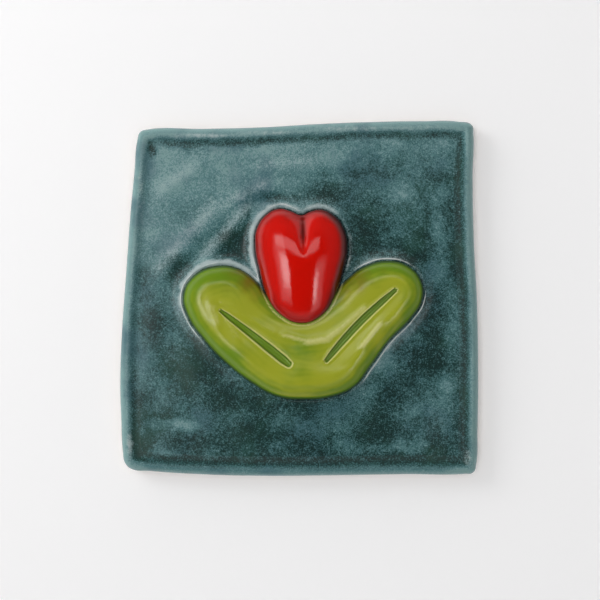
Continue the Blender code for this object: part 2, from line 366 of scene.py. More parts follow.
def leafHeight(spots, deep):
    turn = np.clip(1 - deep / leaves["rounding"], 0, 1)
    bend, lift = leaves["section"]
    height = leaves["shoulder"] + (leaves["crown"] - leaves["shoulder"]) * (1 - turn ** bend) ** lift
    inward = swell(deep / leaves["settled"])
    reach, dip = leaves["bloomDip"]
    height -= dip * inward * bell(np.minimum(bloomLine.depth(spots), 0), reach)
    skin = patches(spots, leaves["swells"]) + leaves["uneven"] * lumps(spots, *noises["leafSkin"])
    height += inward * skin
    height += strokeSwells(leaves["strokes"], spots)
    for cut, (wide, depth) in zip(midribs["cuts"], midribs["troughs"]):
        _, aside, beyond = strokeField(cut, spots)
        height -= depth * inward * bell(np.hypot(aside, beyond), wide)
    for cut in midribs["cuts"]:
        across = midribAcross(cut, spots)
        height += stripe(across, *midribs["burr"])
        height -= cut[-1] * np.sqrt(np.clip(1 - across ** midribs["corner"], 0, 1))
    return height


def strokeField(ends, spots):
    # Place along a stroke, 0 to 1 between its ends, and distance aside of it and beyond it.
    start, end = np.array(ends[0]), np.array(ends[1])
    along = end - start
    run = (spots - start) @ along / (along @ along)
    beyond = np.maximum(np.maximum(-run, run - 1), 0) * np.linalg.norm(along)
    aside = (spots - start) @ np.array((-along[1], along[0])) / np.linalg.norm(along)
    return run, aside, beyond


def strokeSwells(strokes, spots):
    total = np.zeros(len(spots))
    for start, end, wide, tall in strokes:
        _, aside, beyond = strokeField((start, end), spots)
        total = np.maximum(total, tall * bell(aside, wide) * bell(beyond, 1.6 * wide))
    return total


class Dome:
    # A smooth swelling inside an outline: 0 at its edge, and towards 1 further in than spread.
    # The foot is the height round its edge, carried smoothly across the inside.
    cell = 0.5
    margin = 4  # cells beyond the outline
    rounds = 6000  # of evening out, until it settles
    shallow = 0.3  # least depth that a slope is measured over
    nearEdge = (1, 2)  # the slope rules up to this depth, and fades out over the next

    def __init__(self, outline, spread, around):
        self.low = outline.line.min(0) - self.margin * self.cell
        high = outline.line.max(0) + self.margin * self.cell
        count = np.ceil((high - self.low) / self.cell).astype(int) + 1
        x, y = np.meshgrid(*(self.low[k] + self.cell * np.arange(count[k]) for k in (0, 1)))
        spots = np.column_stack((x.ravel(), y.ravel()))
        depth = outline.depth(spots).reshape(x.shape)
        inside = depth > 0
        self.swelling = self.relax(np.zeros(x.shape), inside, (self.cell / spread) ** 2)
        self.foot = self.relax(around(spots).reshape(x.shape), inside, 0)
        self.slope = self.swelling / np.maximum(depth, self.shallow)
        for _ in range(self.margin):  # carry the slope a few cells outwards
            near = self.neighbours(self.slope)
            hits = self.neighbours((self.slope > 0).astype(float))
            self.slope = np.where(self.slope > 0, self.slope, near / np.maximum(hits, 1))

    def neighbours(self, field):
        return sum(np.roll(field, move, axis) for move in (1, -1) for axis in (0, 1))

    def relax(self, field, inside, pull):
        for _ in range(self.rounds):
            field = np.where(inside, (self.neighbours(field) + pull) / (4 + pull), field)
        return field

    def sample(self, field, spots):
        # smooth reading between the cells, by cubics
        place = (spots - self.low) / self.cell
        base = np.clip(np.floor(place).astype(int), 1, np.array(field.shape[::-1]) - 3)
        u = np.clip(place - base, 0, 1)
        weights = np.array(((-u + 2 * u ** 2 - u ** 3) / 2, (2 - 5 * u ** 2 + 3 * u ** 3) / 2,
                            (u + 4 * u ** 2 - 3 * u ** 3) / 2, (u ** 3 - u ** 2) / 2))
        x, y = base.T - 1
        rows = [sum(weights[i, :, 0] * field[y + j, x + i] for i in range(4)) for j in range(4)]
        return sum(weights[j, :, 1] * row for j, row in enumerate(rows))

    def at(self, spots, depth):
        # The swelling and the foot's height at each spot.
        inner = self.sample(self.swelling, spots)
        edge = self.sample(self.slope, spots) * depth
        mix = ramp(depth, *self.nearEdge)
        return np.clip(edge + (inner - edge) * mix, 0, 1), self.sample(self.foot, spots)


def underBloom(spots):
    deep = leafLine.depth(spots)
    return np.where(deep > 0, leafHeight(spots, np.maximum(deep, 0)), bloom["base"])


bloomDome = Dome(bloomLine, bloom["spread"], underBloom)
bloomPeak = bloomDome.swelling.max()


def bloomHeight(spots, depth):
    swelling, foot = bloomDome.at(spots, depth)
    height = foot + (bloom["crown"] - foot) * (swelling / bloomPeak) ** bloom["power"]
    low, high, wide, deep = bloom["valley"]
    run, aside, _ = strokeField((low, high), spots)
    height -= deep * swell(run) * bell(aside, wide) * swell(depth / bloom["valleyFade"])
    low, high, wide, deep = bloom["cleft"]
    run, aside, _ = strokeField((low, high), spots)
    wide *= bloom["cleftPoint"] + (1 - bloom["cleftPoint"]) * np.clip(run, 0, 1)
    height -= deep * ramp(run, *bloom["cleftStart"]) * bell(aside, wide)
    return np.maximum(height, foot - bloom["tuck"])


# The mesh: points along every outline, filled in between, joined into triangles

spacing = {
    # the grids that fill the top and the back: step and two corners
    "motif": (0.56, (-58, -52), (61, 48)),
    "ground": (0.92, (-76, -76), (76, 76)),
    "back": (6, (-76, -76), (76, 76)),
    "backInset": 4,
    # how far the points of each set keep from those before them
    "cleft": 0.15,
    "midribs": 0.12,
    "leaves": 0.18,
    "lip": 0.2,
    "fill": 0.62,  # as a share of the grid's step
    # how far inside or outside the other outlines they keep
    "cleftInside": 0.3,
    "leavesOutside": 0.2,
    "lipOutside": 0.1,
    # a point this near to an outline counts as inside it, for its height and for its glaze
    "onEdge": 0.001,
    "glazeEdge": 0.01,
}


def cleftPoints():
    (ax, ay), (bx, by), wide, _ = bloom["cleft"]
    along, across = (np.arange(*row) for row in bloom["cleftRows"])
    rows = [(ax + (bx - ax) * along + place * wide, ay + (by - ay) * along) for place in across]
    return np.vstack([np.column_stack(row) for row in rows])


def midribPoints():
    picked = []
    for cut in midribs["cuts"]:
        count = int(math.dist(cut[0], cut[1]) / midribs["step"])
        middle, side, width = midribPlace(cut, np.linspace(0, 1, count))
        for across in midribs["across"]:
            picked.append(middle + np.outer(width * across, side))
    return np.vstack(picked)


def hexGrid(step, low, high):
    rows = np.arange(low[1], high[1], step * math.sqrt(3) / 2)
    picked = []
    for k, y in enumerate(rows):
        x = np.arange(low[0] + step / 2 * (k % 2), high[0], step)
        picked.append(np.column_stack((x, np.full(len(x), y))))
    return np.vstack(picked)


def joined(points, more, gap):
    # Adds to the points those that lie more than gap from all of them.
    tree = treeOf(points)
    return np.vstack((points, more[[tree.find((x, y, 0))[2] > gap for x, y in more]]))


def topPoints():
    # All points of the top, the slab's edge first, and how many lie on that edge.
    edge = slabLine.line[::skip(slab["ringStep"])]
    points = np.vstack((edge, bloomLine.rings(bloom["rings"], bloom["ringStep"])))
    cleft = cleftPoints()
    points = joined(points, cleft[bloomLine.depth(cleft) > spacing["cleftInside"]], spacing["cleft"])
    points = joined(points, midribPoints(), spacing["midribs"])
    rings = leafLine.rings(leaves["rings"], leaves["ringStep"])
    outside = bloomLine.depth(rings) < -spacing["leavesOutside"]
    points = joined(points, rings[outside], spacing["leaves"])
    for line, other in ((leafLine, bloomLine), (bloomLine, leafLine)):
        rings = line.rings([-depth for depth in lip["rings"]], lip["ringStep"])
        outside = other.depth(rings) < -spacing["lipOutside"]
        points = joined(points, rings[outside], spacing["lip"])
    points = np.vstack((points, slabLine.rings(slab["rings"], slab["ringStep"])))
    fill = hexGrid(*spacing["motif"])
    fill = fill[motifGap(fill) < lip["reach"]]
    points = joined(points, fill, spacing["motif"][0] * spacing["fill"])
    fill = hexGrid(*spacing["ground"])
    fill = fill[(slabLine.depth(fill) > slab["rings"][-1]) & (motifGap(fill) > lip["reach"])]
    return joined(points, fill, spacing["ground"][0] * spacing["fill"]), len(edge)


def insideLoop(face, rimCount):
    # False for a sliver across a hollow of the outline, whose corners run round it backwards
    a, b, c = face
    return max(face) >= rimCount or a < b < c or b < c < a or c < a < b


def motifGap(spots):
    # distance out from the leaves and the bloom
    return np.maximum(-np.maximum(leafLine.depth(spots), bloomLine.depth(spots)), 0)


def topHeight(spots):
    height = groundHeight(spots, motifGap(spots))
    for line, rise in ((leafLine, leafHeight), (bloomLine, bloomHeight)):
        deep = line.depth(spots)
        on = deep >= -spacing["onEdge"]
        height[on] = rise(spots[on], np.maximum(deep[on], 0))
    return height


# Where the glazes lie thick and thin

glazePlaces = {  # x, y, half-width, half-height and how much, more being lighter on the ground
    "ground": [
        # thick and dark, first above the motif, then below it
        (-27.5, 23, 7.5, 6.5, -0.66), (-50.5, 12, 5, 6, -0.5), (-10, 42.5, 10, 2.4, -0.4),
        (-21.5, 35, 3, 5, -0.3), (-47, 64.5, 10, 2.2, -0.3), (-61.9, 62.4, 2.2, 2.8, -1.7),
        (28, 26, 8.5, 9, -0.5), (14, 44, 10, 4, -0.3), (25, 52.8, 16, 2.6, -0.22),
        (60, 50.5, 7, 4.5, -0.3), (52.3, 32, 1.7, 13, -0.2), (65.8, 24, 2.6, 26, -0.25),
        (47, 18.2, 6, 2.6, -0.25), (-65.5, 7, 3, 7, -0.2), (-60.4, -10.3, 4.5, 11, -0.32),
        (-46, -30, 9, 7, -0.28), (-29, -42.5, 14, 4.5, -0.22), (-16, -58.5, 20, 6, -0.2),
        (-54, -48.2, 9, 1.8, -0.3), (-69, -49, 2.6, 10, -0.35), (-69.3, -61, 2, 9, -0.3),
        (-66, -64, 4, 4, -0.25), (56.5, -26, 6.5, 13, -0.28), (41.5, -35, 9, 6, -0.25),
        (37.5, -52.6, 7, 5, -0.25), (67, -54, 3.4, 15, -0.3), (58, -60, 8, 4, -0.12),
        (3, -62, 4, 4, -0.15),
        # thin and light
        (24, 60.5, 14, 4.5, 0.12), (43, 45, 8, 4.5, 0.2), (57.7, 30, 4.4, 15, 0.32),
        (41.5, 26.5, 6, 4, 0.15), (-58, -38, 5, 8, 0.3), (-51.5, -52.6, 13, 3.4, 0.5),
        (-55, -64.5, 10, 2.8, 0.36), (-52, -16.5, 5, 5, 0.12), (-37.5, -27.5, 5, 3, 0.2),
        (-8.5, -50, 10, 4, 0.2), (35.5, -28.5, 5, 7, 0.3), (25, -42, 8, 4, 0.3),
        (61.3, -36, 4, 9, 0.25), (50.6, -46.4, 12, 4, 0.24), (20.4, -62, 8, 3, 0.35),
        (44, -62, 11, 2.6, 0.36), (5.8, -54, 7, 4, 0.22), (-66, -34, 3, 8, 0.3),
    ],
    "thinAndSparkle": [  # painted sparkle of light on the rim, laid on as pale thin glaze
        (-70.6, -61, 1.6, 5.5, 0.6), (70.6, -66.5, 2.6, 4, 0.42), (-40, 67.8, 11, 0.9, 0.7),
        (-66, 45, 1.2, 14, 0.3), (-14, 69, 14, 1.2, 0.4), (20, 70.8, 22, 1.3, 0.4),
        (52, 71.5, 12, 1.2, 0.25),
    ],
    "green": [  # how much greener the leaves are
        (1, -21.5, 11, 5, 0.6), (-14, -9, 6, 3, 0.25), (14, -6, 6, 8, 0.25), (36, 12, 10, 4, 0.25),
        (-38, 10, 9, 5, 0.3), (-26, -23, 11, 6, 0.3), (40, -9, 4, 7, -0.35), (33, -18, 3, 6, -0.25),
        (-17, 4, 6, 6, -0.3), (19, 4, 6, 6, -0.3), (-28, 5.5, 8, 5, 0.35), (30, 6, 7, 4, 0.35),
        (1, -31, 6, 4, 0.4), (-42, 4, 3, 6, 0.2), (0, -40, 15, 2.4, -0.4), (22, -26, 4, 3, 0.2),
        (-13, -1, 4, 6, 0.15), (44, -2, 4, 10, 0.25), (33, 3, 8, 5, -0.15),
    ],
    "amber": [  # and browner
        (-18.5, 5.5, 5, 6, 0.8), (22, 6, 5.5, 6, 0.7), (-28, 11.5, 9, 2, 0.4), (-12, -1.5, 3, 4, 0.4),
        (-27, 6, 7, 4, 0.32), (30, 6, 6, 3, 0.25), (16.5, -1, 3, 4, 0.35), (-20, -30, 10, 3, 0.14),
        (31, 11.5, 8, 2.5, 0.35),
    ],
    # how light the rim is at these depths in from its edge
    "rim": [
        (0, 1), (0.9, 1.05), (1.8, 0.98), (2.7, 0.84), (3.9, 0.6), (5, 0.32), (6.2, 0.07), (7, 0.1),
    ],
}


# Three numbers are mostly a stripe's strength, place and half-width, and four are a value, what it
# gains, from where and over what length
tealFlow = {
    "low": 0.32,  # how light the ground is low down,
    "upper": 0.63,  # and how much lighter it gets towards the upper left, partly paler glaze and partly a painted sheen
    "upwards": (-0.45, 0.85),
    "upperRun": (-2, 72),
    "right": (0, 0.05, 10, 40),
    "clouds": (0.4, -0.24),  # strength low down, and what that gains higher up
    "places": 1.15,
    "bend": 2.2,  # how far the places' edges wander
    "wander": 0.12,  # how unevenly wide the rim's bands are
    "bands": {  # of the rim: the way out over its side, a start and a run that way, and a stripe
        "bottom": ((0, -1), (55, 20), (-0.1, 0, math.inf)),
        "top": ((0, 1), (55, 12), (0.4, 3.4, 1.5)),
        "topInner": ((0, 1), (55, 12), (0.25, 6.4, 1.6)),
        "left": ((-1, 0), (60, 8), (0.16, 0, math.inf)),
        "leftLeast": ((-1, 0), (58, 8), (0.62, 0, math.inf)),
        # the left inner band is painted light, which lifts the shade on the left rim's inner slope
        "leftInner": ((-1, 0), (56, 8), (0.22, 5.2, 2.2)),
        "right": ((1, 0), (58, 8), (0.24, 2, 2.2)),
    },
    "leftInnerRise": (0, 20),  # the left inner band is only in the upper half
    "rimEnd": (4.2, 1.5),  # where the rim's tone gives way to the ground's
    "poolEnd": (6.2, 2.6),  # and where it pools at the rim's foot
    "leftPool": (0.2, 0.8, -68, 14),  # it pools less along the left side
    "pale": (0.12, 0.5),  # least paleness of the lip, and how uneven that is
    "lipWide": (0.8, 0.55),  # half-width of its thin glaze and painted highlight, and its gain where it is pale
    "lipInner": 0.9,  # it is a little wider on the inner slope
    # how much the pale lip lightens the tone, partly a painted highlight
    "lipTone": (0.3, 0, 2.4),
    "strokes": (1.2, 0.4, 0.5),  # how strongly a sheen is painted on the strokes as thin glaze, how much lighter they are and how uneven
    "strokeShift": (1.6, -1.6),  # the painted sheen lies on their upper left slopes, which face the light
    "strokeClear": 1.5,  # not this near to the motif
    "edge": (0.6, 0, 0.45),
    "thinAndSparkle": 1.1,
    "groove": (0.3, 0.2),  # the groove's width, and its tone
    "rough": 0.2,
    "roughBand": (0.28, 5.6, 2.4),
    "smoothRim": (0.75, 0, 3.2),  # how much less grainy the rim is
}


def rimTone(spots, wander):
    tone = {"rim": np.interp(wander, *zip(*glazePlaces["rim"]))}
    for name, (way, run, line) in tealFlow["bands"].items():
        tone[name] = ramp(spots @ way, *run) * stripe(wander, *line)
    outer = np.maximum(tone["rim"] + tone["bottom"] + tone["top"] + tone["left"], tone["leftLeast"])
    inner = tone["topInner"] * (1 + lumps(spots, *noises["topBand"]))
    inner += tone["leftInner"] * ramp(spots[:, 1], *tealFlow["leftInnerRise"])
    return outer + tone["right"] + inner


def groundTone(spots, edge):
    # 0 where the teal glaze pools, and 1 where it is thinnest; towards the upper left part of the lightness
    # is painted sheen
    flow = tealFlow
    bend = np.column_stack([lumps(spots, *noises[name]) for name in ("bendAcross", "bendUp")])
    upper = ramp(spots @ flow["upwards"], *flow["upperRun"])
    tone = flow["low"] + flow["upper"] * upper + rising(spots[:, 0], *flow["right"])
    cloudy, gain = flow["clouds"]
    tone += (cloudy + gain * upper) * lumps(spots, *noises["clouds"])
    tone += flow["places"] * patches(spots + flow["bend"] * bend, glazePlaces["ground"])
    wander = edge * (1 + flow["wander"] * lumps(spots, *noises["rimGlaze"]))
    pooled = rising(spots[:, 0], *flow["leftPool"]) * (1 - ramp(wander, *flow["poolEnd"]))
    share = np.maximum(1 - ramp(wander, *flow["rimEnd"]), pooled)
    return tone + (rimTone(spots, wander) - tone) * share


def tealMasks(spots, gap):
    # How light the teal glaze is, how thin, how grainy and how rough. Lightness and thinness also carry
    # painted sheen, sparkle and highlights.
    flow = tealFlow
    edge = slabLine.depth(spots)
    crest = lip["crest"] + patches(spots, lip["wider"])
    least, uneven = flow["pale"]
    pale = np.clip(least + patches(spots, lip["pale"]), 0, 1)
    pale *= 1 + uneven * lumps(spots, *noises["paleLip"])
    wide, gain = flow["lipWide"]
    aside = np.where(gap > crest, gap - crest, (crest - gap) * flow["lipInner"])
    # the lip's pale band is thin glaze and a painted highlight
    lipThinAndHighlight = pale * bell(aside, wide + gain * pale)
    # painted sheen on the strokes' upper left slopes
    strokeSheen, lightness, uneven = flow["strokes"]
    strokes = strokeSwells(slab["strokes"], spots + flow["strokeShift"]) * (gap > flow["strokeClear"])
    strokes *= 1 + uneven * lumps(spots, *noises["strokes"])
    # painted sparkle on the rim
    thinAndSparkle = patches(spots, glazePlaces["thinAndSparkle"]) * (1 + flow["thinAndSparkle"] * lumps(spots, *noises["thinAndSparkle"]))
    thin = np.max((stripe(edge, *flow["edge"]), lipThinAndHighlight, strokeSheen * strokes, thinAndSparkle), axis=0)
    tone = groundTone(spots, edge) + pale * stripe(gap - crest, *flow["lipTone"]) + lightness * strokes
    width, deep = flow["groove"]
    tone = np.where(gap < width, deep, tone)
    grainy = 1 - stripe(edge, *flow["smoothRim"])
    return tone, thin, grainy, flow["rough"] + stripe(edge, *flow["roughBand"])


leafFlow = {
    "green": (0.88, -0.78, 0, 8.5),
    "greenUneven": 0.16,
    "brush": (2.6, 3.5),  # how close the brushed lines are, and how far they wander
    "brushed": (0.105, -0.06, 0, 8.5),
    "most": 0.8,
    "foot": (1.15, 0.3, 1),  # pooled green at the foot, how fast it fades, and its width
    "cut": (0.97, 0.8),  # half-width of a cut's green, and its depth
    "cutEdge": (0.16, 0.9, 0.2),
    # pale lines over the burrs and round the bloom, and painted highlights over the ridges
    "burr": (1.2, 1.2, 0.28),
    "ridges": 2.3,
    "bloomLine": (1, -0.9, 0.5),
    "amberUneven": 0.6,
}


def leafMasks(spots, deep, bloomDeep):
    # How green the leaves are, how thin their glaze is with painted highlights on the ridges, and how
    # amber.
    flow = leafFlow
    green = rising(deep, *flow["green"]) + flow["greenUneven"] * lumps(spots, *noises["green"])
    green += patches(spots, glazePlaces["green"])
    close, wander = flow["brush"]
    lines = np.sin(close * deep + wander * lumps(spots, *noises["brushed"]))
    green = np.minimum(green + rising(deep, *flow["brushed"]) * lines, flow["most"])
    pooled, fade, wide = flow["foot"]
    green = np.where(deep < wide, np.maximum(green, pooled - fade * np.maximum(deep, 0)), green)
    # painted highlights on the ridges
    thin = flow["ridges"] * strokeSwells(leaves["strokes"], spots)
    half, inCut = flow["cut"]
    for cut in midribs["cuts"]:
        across = midribAcross(cut, spots)
        green = np.where(across < half, inCut + stripe(across, *flow["cutEdge"]), green)
        thin = np.maximum(thin, stripe(across, *flow["burr"]))
    thin = np.maximum(thin, stripe(bloomDeep, *flow["bloomLine"]))
    amber = patches(spots, glazePlaces["amber"])
    return green, thin, amber * (1 + flow["amberUneven"] * lumps(spots, *noises["amber"]))


bloomFlow = {
    # how far in the dark flank reaches, up and to the right, and how dark it is: pooled red, with painted
    # shade on the right and upper flanks
    "up": (1.3, 0.9, -5, 15),
    "aside": (0, 1.3, 2, 14),
    "flank": (0.62, 0.38, 4, 12),
    "glow": (0.45, 0, 4.8),  # a weaker, wider shade inside it
    "line": (1, 0, 0.4),  # the dark line at the foot
    "cleft": (0, 0.66, -0.1, 0.5),  # how dark the cleft is along its length
    "cleftWide": (0.75, 0.25),  # as a share of the cleft, and of that at its point
}


def bloomPoolAndShade(spots, deep):
    # How dark the red is: pooled in the flank and the cleft, with painted shade up the right and upper
    # flanks.
    flow = bloomFlow
    x, y = spots.T
    inside = np.maximum(deep, 0)
    # pooled red at the foot, widened up and to the right as painted shade
    flank = rising(x, *flow["flank"]) * bell(inside, rising(y, *flow["up"]) + rising(x, *flow["aside"]))
    low, high, wide, _ = bloom["cleft"]
    run, aside, _ = strokeField((low, high), spots)
    share, point = flow["cleftWide"]
    wide = share * wide * (point + (1 - point) * np.clip(run, 0, 1))
    cleft = rising(run, *flow["cleft"]) * bell(aside, wide)
    return np.max((flank, stripe(inside, *flow["glow"]), stripe(inside, *flow["line"]), cleft), axis=0)


def glazeMasks(spots):
    gap = motifGap(spots)
    leafDeep, bloomDeep = leafLine.depth(spots), bloomLine.depth(spots)
    tone, thin, grainy, rough = tealMasks(spots, gap)
    green, leafThinAndSheen, warm = leafMasks(spots, leafDeep, bloomDeep)
    onLeaf, onBloom = leafDeep > -spacing["glazeEdge"], bloomDeep > -spacing["glazeEdge"]
    masks = {
        # darkness: pooled glaze, lifted by painted sheen on the ground and deepened by painted shade on the
        # bloom
        "pool": np.select((onBloom, onLeaf), (bloomPoolAndShade(spots, bloomDeep), green), 1 - tone),
        "thin": np.select((onBloom, onLeaf), (np.zeros(len(spots)), leafThinAndSheen), thin),
        "warm": warm,
        "grainy": grainy,
        "rough": rough,
        # painted glint along the lip's thread
        "bare": threadShare(spots, gap),
    }
    return {name: np.clip(values, 0, 1) for name, values in masks.items()}


# Flat layout for baked glazes: the top takes the left of the square, the back a small square at
# its right, and the sides a strip above that
bakeMap = {
    "span": 156,  # what the two squares stand for
    "top": 0.78,
    "back": 0.2,
    "gap": 0.01,
    "side": (0.018, 0.7 / 1.02),  # the strip's width for a millimetre, and length for a full turn
}

zones = {"ground": 0, "leaves": 1, "bloom": 2, "clay": 3}  # in the order of the materials


def layBakeMap(mesh, topCount):
    plan = bakeMap
    places = np.array([v.co for v in mesh.vertices]) / mm
    right, above = plan["top"] + plan["gap"], plan["back"] + plan["gap"]
    layer = mesh.uv_layers.new(name="OFBake")
    for face in mesh.polygons:
        x, y, z = places[list(face.vertices)].T
        across, up = x / plan["span"], y / plan["span"]
        if face.material_index != zones["clay"]:
            spread = np.column_stack((across + 0.5, up + 0.5)) * plan["top"]
        elif min(face.vertices) >= topCount and max(z) < slab["backFlat"]:
            spread = np.column_stack((0.5 - across, up + 0.5)) * plan["back"] + (right, 0)
        else:
            turn = np.arctan2(y, x) / (2 * math.pi) + 0.5
            turn = np.where(turn < turn.max() - 0.5, turn + 1, turn)  # a face may lie across the seam
            wide, long = plan["side"]
            spread = np.column_stack((right + (z + 1) * wide, above + turn * long))
        for loop, place in zip(face.loop_indices, spread):
            layer.data[loop].uv = place


def placed(name, data):
    made = bpy.data.objects.new(name, data)
    bpy.context.scene.collection.objects.link(made)
    return made


def filled(points, loop):
    # Joins the points into triangles, inside the loop that the first of them form.
    flat, _, faces, _, _, _ = delaunay_2d_cdt([Vector(p) for p in points], loop, [], 1, 1e-6, False)
    return np.array([tuple(p) for p in flat]), [tuple(f) for f in faces if insideLoop(f, len(loop))]


def buildTile():
    points, rimCount = topPoints()
    loop = [(i, (i + 1) % rimCount) for i in range(rimCount)]
    spots, faces = filled(points, loop)
    verts = [(x, y, z) for (x, y), z in zip(spots, topHeight(spots))]
    middles = spots[np.array(faces)].mean(1)
    zone = np.where(leafLine.depth(middles) > 0, zones["leaves"], zones["ground"])
    zone = np.where(bloomLine.depth(middles) > 0, zones["bloom"], zone)
    print("top surface:", len(verts), "points,", len(faces), "triangles")

    # The sides go down from the edge, and the back closes them
    edge, inward = slabLine.line[::skip(slab["ringStep"])], -slabLine.outward[::skip(slab["ringStep"])]
    above = list(range(rimCount))
    for depth, z in slab["sideRings"]:
        ring = edge + inward * depth
        below = list(range(len(verts), len(verts) + rimCount))
        verts += [(x, y, z) for x, y in ring]
        faces += [(above[i], below[i], below[j], above[j]) for i, j in loop]
        above = below
    back = hexGrid(*spacing["back"])
    back = back[slabLine.depth(back) > spacing["backInset"]]
    flat, backFaces = filled(np.vstack((ring, back)), loop)
    numbers = above + list(range(len(verts), len(verts) + len(flat) - rimCount))
    verts += [(x, y, 0) for x, y in flat[rimCount:]]
    faces += [tuple(numbers[i] for i in reversed(face)) for face in backFaces]
    zone = np.concatenate((zone, np.full(len(faces) - len(zone), zones["clay"])))

    mesh = bpy.data.meshes.new("glazedTile")
    mesh.from_pydata([Vector(v) * mm for v in verts], [], faces)
    mesh.polygons.foreach_set("material_index", zone.astype(np.int32))
    for name, values in glazeMasks(spots).items():
        full = np.zeros(len(verts), np.float32)
        full[:len(values)] = values
        mesh.attributes.new(name, "FLOAT", "POINT").data.foreach_set("value", full)
    layBakeMap(mesh, len(spots))
    mesh.shade_smooth()
    for face in list(mesh.polygons)[-len(backFaces):]:
        face.use_smooth = False
    mesh.validate()
    tile = placed("glazedTile", mesh)
    triangles = sum(len(face.vertices) - 2 for face in mesh.polygons)
    print("tile:", len(mesh.vertices), "vertices,", triangles, "triangles")
    return tile


# Shader maths: a Wire is one socket, and sums on it add Math nodes

class Wire:
    def __init__(self, tree, socket=None):
        self.tree = tree
        self.socket = socket

    def node(self, kind, settings, sockets, out=0):
        made = self.tree.nodes.new(kind)
        for name, value in settings.items():
            if name == "stops":
                self.setStops(made.color_ramp, value)
            else:
                setattr(made, name, value)
        self.plug(made, sockets)
        return Wire(self.tree, made.outputs[out])

    def plug(self, node, sockets):
        for name, value in sockets.items():
            if isinstance(value, Wire):
                self.tree.links.new(value.socket, node.inputs[name])
            else:
                node.inputs[name].default_value = value

    def setStops(self, ramp, stops):
        while len(ramp.elements) < len(stops):
            ramp.elements.new(1)
        for element, (place, colour) in zip(ramp.elements, stops):
            element.position = place
            element.color = colour

    def sum(self, operation, *values, clamp=False):
        settings = {"operation": operation, "use_clamp": clamp}
        return self.node("ShaderNodeMath", settings, dict(enumerate(values)))

    def __add__(self, other):
        return self.sum("ADD", self, other)

    def __sub__(self, other):
        return self.sum("SUBTRACT", self, other)

    def __rsub__(self, other):
        return self.sum("SUBTRACT", other, self)

    def __mul__(self, other):
        return self.sum("MULTIPLY", self, other)

    def clamped(self):
        return self.sum("ADD", self, 0, clamp=True)

    def between(self, low, high):
        # 0 below low, 1 above high, eased
        sockets = {"Value": self, "From Min": low, "From Max": high}
        return self.node("ShaderNodeMapRange", {"interpolation_type": "SMOOTHSTEP"}, sockets)

    def span(self, low, high):
        return self * (high - low) + low

    def bump(self, strength, distance):
        sockets = {"Height": self, "Strength": strength, "Distance": distance * mm}
        return self.node("ShaderNodeBump", {}, sockets)

    def blend(self, first, second):
        # first where this is 0, and second where it is 1
        return self.node("ShaderNodeMix", {"data_type": "RGBA"}, {0: self, 6: first, 7: second}, out=2)

    def grain(self, size, detail=2, roughness=0.5):
        # noise whose grains are about size mm
        place = self.node("ShaderNodeTexCoord", {}, {}, out=3)
        sockets = {"Vector": place, "Scale": 1000 / size, "Detail": detail, "Roughness": roughness}
        return self.node("ShaderNodeTexNoise", {}, sockets)

    def mask(self, name):
        return self.node("ShaderNodeAttribute", {"attribute_name": name}, {}, out=2)


def newFinish(name, look):
    material = bpy.data.materials.new(name)
    material.use_nodes = True
    tools = Wire(material.node_tree)
    tools.plug(material.node_tree.nodes["Principled BSDF"], look(tools))
    return material


tealGlaze = {
    "tones": [  # from where it pools to where it thins out over a ridge and where painted sheen lightens it
        (0, (0.006, 0.027, 0.024, 1)), (0.25, (0.018, 0.062, 0.06, 1)),
        (0.5, (0.045, 0.128, 0.129, 1)), (0.68, (0.078, 0.19, 0.2, 1)),
        (0.85, (0.118, 0.248, 0.258, 1)), (1, (0.21, 0.355, 0.352, 1)),
    ],
    "blue": (0.04, 0.11, 0.15, 1),
    "green": (0.02, 0.085, 0.056, 1),
    # pale colour of thin glaze and of painted sheen and sparkle
    "thin": (0.42, 0.52, 0.52, 1),
    # white of the painted glint along the lip's thread
    "bare": (0.72, 0.77, 0.76, 1),
    "grain": 0.55,
    "clump": 1.7,
    "drift": 17,
    "speckle": (1.2, 2.7),  # strength of the clumps and of the grains
    "speckled": (0.28, 1.04),  # share of that where the glaze is thin and where it pools
    "peel": 0.045,  # height of the orange peel
}


def tealLook(tools):
    look = tealGlaze
    pool, thin, grainy = tools.mask("pool"), tools.mask("thin"), tools.mask("grainy")
    fine = tools.grain(look["grain"], 2, 0.6)
    clump = tools.grain(look["clump"], 3, 0.6)
    drift = tools.grain(look["drift"])
    coarse, sharp = look["speckle"]
    speckle = ((clump - 0.5) * coarse + (fine - 0.5) * sharp) * grainy * pool.span(*look["speckled"])
    tone = (1 - pool + speckle).clamped()
    colour = tools.node("ShaderNodeValToRGB", {"stops": look["tones"]}, {"Fac": tone})
    # the drift turns it bluer where it is light and greener where it pools
    colour = (drift.between(0.5, 0.72) * 0.6).blend(colour, tone.blend(colour, look["blue"]))
    colour = (drift.between(0.5, 0.28) * (1 - tone) * 0.45).blend(colour, look["green"])
    # paler where the glaze is thin and where sheen and sparkle are painted, and white along the painted
    # glint
    thinAndSparkle = (thin + (fine - 0.5) * 0.7 + (clump - 0.5) * 0.5).between(0.1, 1)
    colour = thinAndSparkle.blend(colour, look["thin"])
    bare = (tools.mask("bare") * 1.1 + (clump - 0.5) * 0.6).between(0.2, 0.95)
    colour = bare.blend(colour, look["bare"])
    normal = (fine + clump * 0.7).bump(1, look["peel"])
    return {"Base Color": colour, "Roughness": tools.mask("rough"), "Normal": normal, "IOR": 1.38}


leafGlaze = {
    "yellow": (0.385, 0.42, 0.022, 1),
    "green": (0.15, 0.27, 0.008, 1),
    "deep": (0.06, 0.13, 0.015, 1),
    "amber": (0.23, 0.155, 0.009, 1),
    # pale colour of thin glaze over the burrs and of painted highlights on the ridges
    "thin": (0.6, 0.6, 0.19, 1),
    "roughness": (0.2, 0.34),
}


